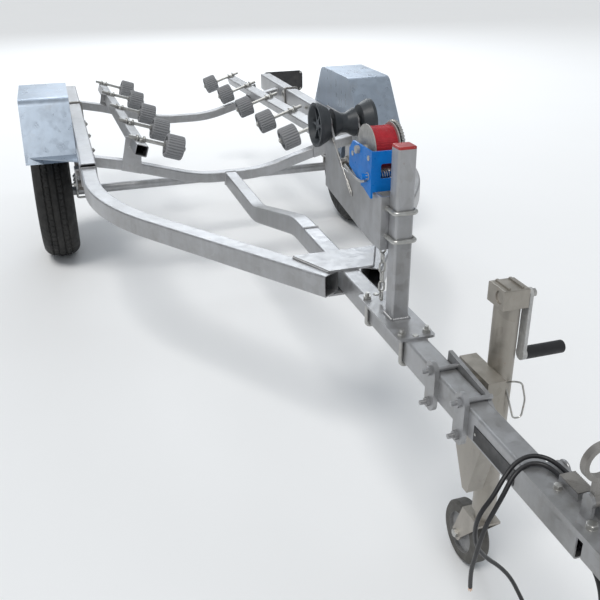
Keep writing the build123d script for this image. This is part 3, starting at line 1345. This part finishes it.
# ---- Fork and jockey wheel ---------------------------------------------------
cheek_in = JOCKEY_W / 2 + JOCKEY_SIDE_GAP
with BuildPart() as jack_fork:
    with BuildSketch(Plane.XY.offset(crown_low)):
        with Locations((JACK_X, from_jack((CROWN_FRONT_Y + CROWN_REAR_Y) / 2))):
            Rectangle(2 * (cheek_in + FORK_T), CROWN_REAR_Y - CROWN_FRONT_Y)
        with Locations(jack_at):
            Circle(SPIGOT_R + RUN_CLEARANCE, mode=Mode.SUBTRACT)
    extrude(amount=CROWN_T)
    for side, sign in SIDES:
        with BuildSketch(Plane.YZ.offset(JACK_X + sign * cheek_in)):
            with BuildLine():
                Polyline(
                    (from_jack(CROWN_FRONT_Y), CROWN_TOP),
                    (from_jack(CROWN_REAR_Y), CROWN_TOP),
                    (from_jack(JOCKEY_Y + FORK_END_R), JOCKEY_D / 2),
                    (from_jack(JOCKEY_Y - FORK_END_R), JOCKEY_D / 2),
                    (from_jack(CROWN_FRONT_Y), crown_low),
                    close=True,
                )
            make_face()
            with Locations((from_jack(JOCKEY_Y), JOCKEY_D / 2)):
                Circle(FORK_END_R)
        extrude(amount=sign * FORK_T)
    with BuildSketch(Plane.YZ.offset(JACK_X - cheek_in - FORK_T - JOCKEY_PIN_OUT)):
        with Locations((from_jack(JOCKEY_Y), JOCKEY_D / 2)):
            Circle(JOCKEY_PIN_R)
    extrude(amount=2 * (cheek_in + FORK_T + JOCKEY_PIN_OUT))
save(jack_fork.part, "jack_fork")

jockey_frame = Plane(
    origin=(JACK_X, from_jack(JOCKEY_Y), JOCKEY_D / 2), x_dir=(1, 0, 0), z_dir=(0, -1, 0)
)
with BuildPart() as jockey_wheel:
    with BuildSketch(jockey_frame):
        with BuildLine():
            Polyline(
                (-JOCKEY_W / 2, JOCKEY_PIN_R + RUN_CLEARANCE),
                (-JOCKEY_W / 2, JOCKEY_HUB_R),
                (-JOCKEY_WEB / 2, JOCKEY_HUB_R),
                (-JOCKEY_WEB / 2, JOCKEY_RIM_R),
                (-JOCKEY_W / 2, JOCKEY_RIM_R),
                (-JOCKEY_W / 2, JOCKEY_D / 2 - JOCKEY_EDGE),
                (-JOCKEY_W / 2 + JOCKEY_EDGE, JOCKEY_D / 2),
                (JOCKEY_W / 2 - JOCKEY_EDGE, JOCKEY_D / 2),
                (JOCKEY_W / 2, JOCKEY_D / 2 - JOCKEY_EDGE),
                (JOCKEY_W / 2, JOCKEY_RIM_R),
                (JOCKEY_WEB / 2, JOCKEY_RIM_R),
                (JOCKEY_WEB / 2, JOCKEY_HUB_R),
                (JOCKEY_W / 2, JOCKEY_HUB_R),
                (JOCKEY_W / 2, JOCKEY_PIN_R + RUN_CLEARANCE),
                close=True,
            )
        make_face()
    revolve(axis=Axis((JACK_X, from_jack(JOCKEY_Y), JOCKEY_D / 2), (1, 0, 0)))
save(jockey_wheel.part, "jockey_wheel")

# ---- Jack crank --------------------------------------------------------------
crank_x = JACK_X + JACK_HEAD_W / 2 + CRANK_GAP
with BuildPart() as jack_crank:
    with BuildSketch(Plane.YZ.offset(crank_x)):
        with Locations((from_jack(CRANK_Y), CRANK_Z - CRANK_REACH / 2)):
            SlotOverall(CRANK_REACH + CRANK_W, CRANK_W, rotation=90)
    extrude(amount=CRANK_T)
    with BuildSketch(Plane.YZ.offset(JACK_X + JACK_HEAD_W / 2 - CRANK_PIN_DEPTH + CRANK_GAP)):
        with Locations((from_jack(CRANK_Y), CRANK_Z)):
            Circle(CRANK_PIN_R)
    extrude(amount=CRANK_PIN_DEPTH)
    with BuildSketch(Plane.YZ.offset(crank_x)):
        with Locations((from_jack(CRANK_Y), CRANK_Z - CRANK_REACH)):
            Circle(GRIP_R)
    extrude(amount=GRIP_L)
    fillet(jack_crank.edges().group_by(Axis.X)[-1], GRIP_EDGE)
save(jack_crank.part, "jack_crank")

# ---- Coupling ----------------------------------------------------------------
plate_mid_y = from_socket((HITCH_PLATE_FRONT + HITCH_PLATE_REAR) / 2)
socket_y = from_socket(0)
hitch_top = TUBE_TOP + HITCH_PLATE_T
body_front = socket_y
body_rear = from_socket(HITCH_BODY_REAR)
with BuildPart() as coupling:
    with BuildSketch(Plane.XY.offset(SOCKET_LOW)):
        with Locations((0, socket_y)):
            Circle(SOCKET_OUTER_R)
    extrude(amount=SOCKET_TOP - SOCKET_LOW)
    fillet(coupling.edges().group_by(Axis.Z)[-1], SOCKET_EDGE)
    with BuildSketch(Plane.XY.offset(TUBE_TOP)):
        with Locations((0, plate_mid_y)):
            RectangleRounded(
                2 * HITCH_PLATE_HALF, HITCH_PLATE_REAR - HITCH_PLATE_FRONT, HITCH_CORNER
            )
    extrude(amount=HITCH_PLATE_T)
    with Locations((0, (body_front + body_rear) / 2, (HITCH_BODY_LOW + hitch_top) / 2)):
        Box(2 * HITCH_BODY_HALF, body_rear - body_front, hitch_top - HITCH_BODY_LOW)
    channel_front = socket_y + BALL_R + HITCH_WALL
    with Locations((0, (channel_front + body_rear) / 2, (HITCH_BODY_LOW + TUBE_TOP) / 2)):
        Box(
            2 * (HITCH_BODY_HALF - HITCH_WALL),
            body_rear - channel_front,
            TUBE_TOP - HITCH_BODY_LOW,
            mode=Mode.SUBTRACT,
        )
    with Locations((0, socket_y, SOCKET_LOW + SOCKET_SKIRT)):
        Sphere(BALL_R, mode=Mode.SUBTRACT)
        Cylinder(
            BALL_R,
            SOCKET_SKIRT,
            align=(Align.CENTER, Align.CENTER, Align.MAX),
            mode=Mode.SUBTRACT,
        )
    with Locations((HITCH_BLOCK_W / 2, from_socket(HITCH_BLOCK_Y), hitch_top + HITCH_BLOCK_H / 2)):
        Box(HITCH_BLOCK_W, HITCH_BLOCK_L, HITCH_BLOCK_H)
    for side, sign in SIDES:
        with BuildSketch(Plane.YZ.offset(sign * (LEVER_T / 2 + LEVER_GAP))):
            with Locations((from_socket(LEVER_Y), LEVER_Z)):
                Circle(LEVER_EYE_R)
                Circle(LEVER_PIN_R, mode=Mode.SUBTRACT)
            with Locations((from_socket(LEVER_Y), (hitch_top + LEVER_Z - LEVER_EYE_R / 2) / 2)):
                Rectangle(2 * LEVER_EYE_R, LEVER_Z - LEVER_EYE_R / 2 - hitch_top)
            with Locations((from_socket(LEVER_Y), LEVER_Z)):
                Circle(LEVER_PIN_R, mode=Mode.SUBTRACT)
        extrude(amount=sign * LEVER_EAR_T)
    with BuildSketch(Plane.YZ.offset(-(LEVER_T / 2 + LEVER_GAP + LEVER_EAR_T))):
        with Locations((from_socket(LEVER_Y), LEVER_Z)):
            Circle(LEVER_PIN_R)
    extrude(amount=2 * (LEVER_T / 2 + LEVER_GAP + LEVER_EAR_T))
    lug_centre = (HITCH_PLATE_HALF + LUG_WIRE_R - LUG_SEAM, from_socket(LUG_Y), TUBE_TOP)
    with BuildSketch(Plane.XZ.offset(-from_socket(LUG_Y))):
        with Locations((lug_centre[0], lug_centre[2] + LUG_R)):
            Circle(LUG_WIRE_R)
    revolve(axis=Axis(lug_centre, (1, 0, 0)))
save(coupling.part, "coupling")

with BuildPart() as coupling_lever:
    with BuildSketch(Plane.XZ.offset(-(from_socket(LEVER_Y) - LEVER_T / 2))):
        with Locations((0, LEVER_RING_Z)):
            Circle(LEVER_RING_OUT)
        with Locations((0, (LEVER_Z + LEVER_RING_Z - LEVER_RING_IN) / 2)):
            Rectangle(LEVER_T, LEVER_RING_Z - LEVER_RING_IN - LEVER_Z)
        with Locations((0, LEVER_RING_Z)):
            Circle(LEVER_RING_IN, mode=Mode.SUBTRACT)
    extrude(amount=-LEVER_T)
    with BuildSketch(Plane.YZ.offset(-LEVER_T / 2)):
        with Locations((from_socket(LEVER_Y), LEVER_Z)):
            Circle(LEVER_EYE_R)
    extrude(amount=LEVER_T)
    with BuildSketch(Plane.YZ.offset(-LEVER_T / 2)):
        with Locations((from_socket(LEVER_Y), LEVER_Z)):
            Circle(LEVER_PIN_R + RUN_CLEARANCE)
    extrude(amount=LEVER_T, mode=Mode.SUBTRACT)
save(coupling_lever.part, "coupling_lever")

# ---- Cables: two out of the block on the coupling, two out of the drawbar -----
def soft_radii(route):
    """The largest even bend at each inner point of a route."""
    radii = []
    for before, at, after in zip(route, route[1:], route[2:]):
        arriving = Vector(at) - Vector(before)
        leaving = Vector(after) - Vector(at)
        half_turn = radians(arriving.get_angle(leaving) / 2)
        radii.append(0.45 * min(arriving.length, leaving.length) / tan(half_turn))
    return radii


for cable_name, route in CABLE_ROUTES.items():
    points = [(x, from_axle(y), z) for x, y, z in route]
    with BuildPart() as cable:
        with BuildLine() as cable_path:
            FilletPolyline(*points, radius=soft_radii(points))
        with BuildSketch(Plane(cable_path.line @ 0, z_dir=cable_path.line % 0)):
            Circle(CABLE_R)
        sweep(path=cable_path.line)
    save(cable.part, cable_name)
